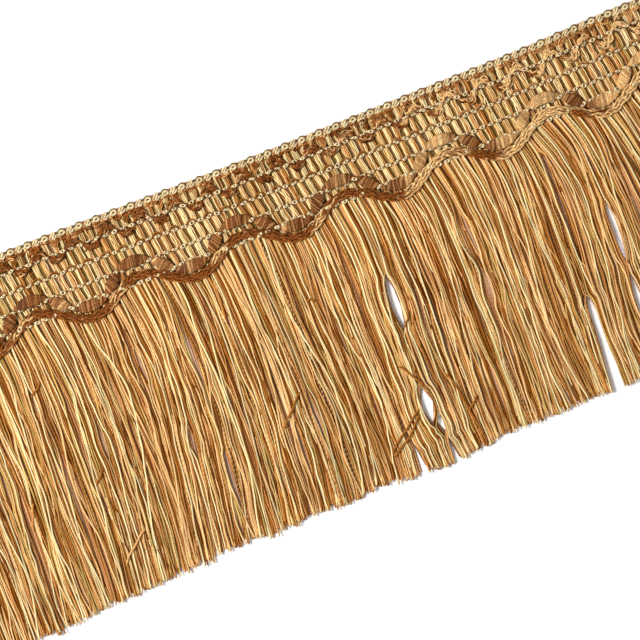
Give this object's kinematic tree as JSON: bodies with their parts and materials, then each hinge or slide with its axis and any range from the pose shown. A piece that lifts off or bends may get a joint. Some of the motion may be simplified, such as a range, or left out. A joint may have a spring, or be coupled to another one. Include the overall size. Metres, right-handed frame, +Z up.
{
  "type": "brush fringe trim",
  "caption": "Cut length of woven brush fringe: a ribbed heading with a beaded selvedge and scalloped braids, and a skirt of cut yarn, for edging cushions, curtains and upholstery.",
  "frame": {"origin": "centre of the trim's length and width, on the surface it lies on", "axes": "+X along the trim, +Y across it towards the selvedge, +Z up from the surface"},
  "size_m": [0.3022, 0.1249, 0.0034],
  "materials": {
    "pale_chain_yarn": "soft sheen cream yarn",
    "gold_floats": "satin viscose floats in pale gold and orange gold",
    "rust_crinkle": "satin crinkled filament yarn in rust",
    "ribbed_braid": "satin ribbed braid in copper",
    "plaited_braid": "satin plaited braid in rust and copper",
    "fringe_yarn": "satin plied viscose yarn in gold, pale gold and rust"
  },
  "bodies": {
    "root": {"selvedge_beads": "pale_chain_yarn", "heading_band": "gold_floats", "crinkled_yarn": "rust_crinkle", "inner_braid": "ribbed_braid", "outer_braid": "plaited_braid", "fringe_skirt": "fringe_yarn"}
  },
  "joints": []
}
